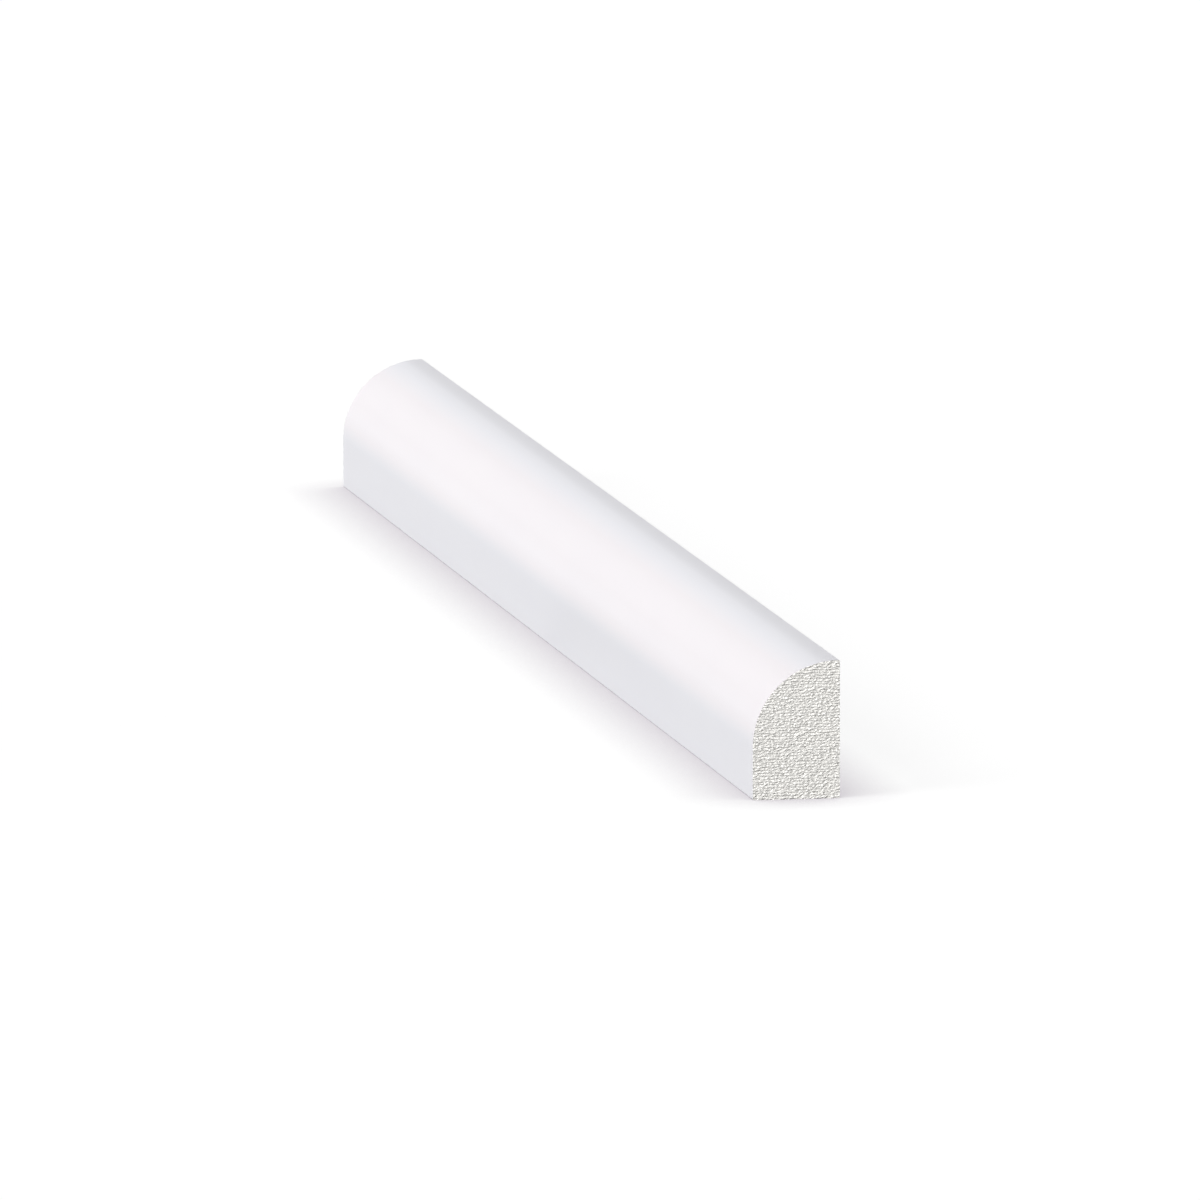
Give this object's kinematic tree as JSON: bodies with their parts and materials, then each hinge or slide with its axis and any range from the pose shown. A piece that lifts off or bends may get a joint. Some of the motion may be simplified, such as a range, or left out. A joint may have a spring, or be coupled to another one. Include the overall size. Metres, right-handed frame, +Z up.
{
  "type": "shoe moulding",
  "caption": "Straight length of white shoe moulding with a quarter-round face above a short upright riser, flat back and bottom, and square-cut ends.",
  "frame": {"origin": "middle of the bottom face, halfway along the stick", "axes": "+X towards the wall, square to the flat back; +Y along the stick; +Z up from the floor"},
  "size_m": [0.0112, 0.3048, 0.0175],
  "materials": {
    "white_pvc": "smooth satin skin on the long faces, matte open grain on the two sawn ends"
  },
  "bodies": {
    "root": {"shoe_moulding": "white_pvc"}
  },
  "joints": []
}
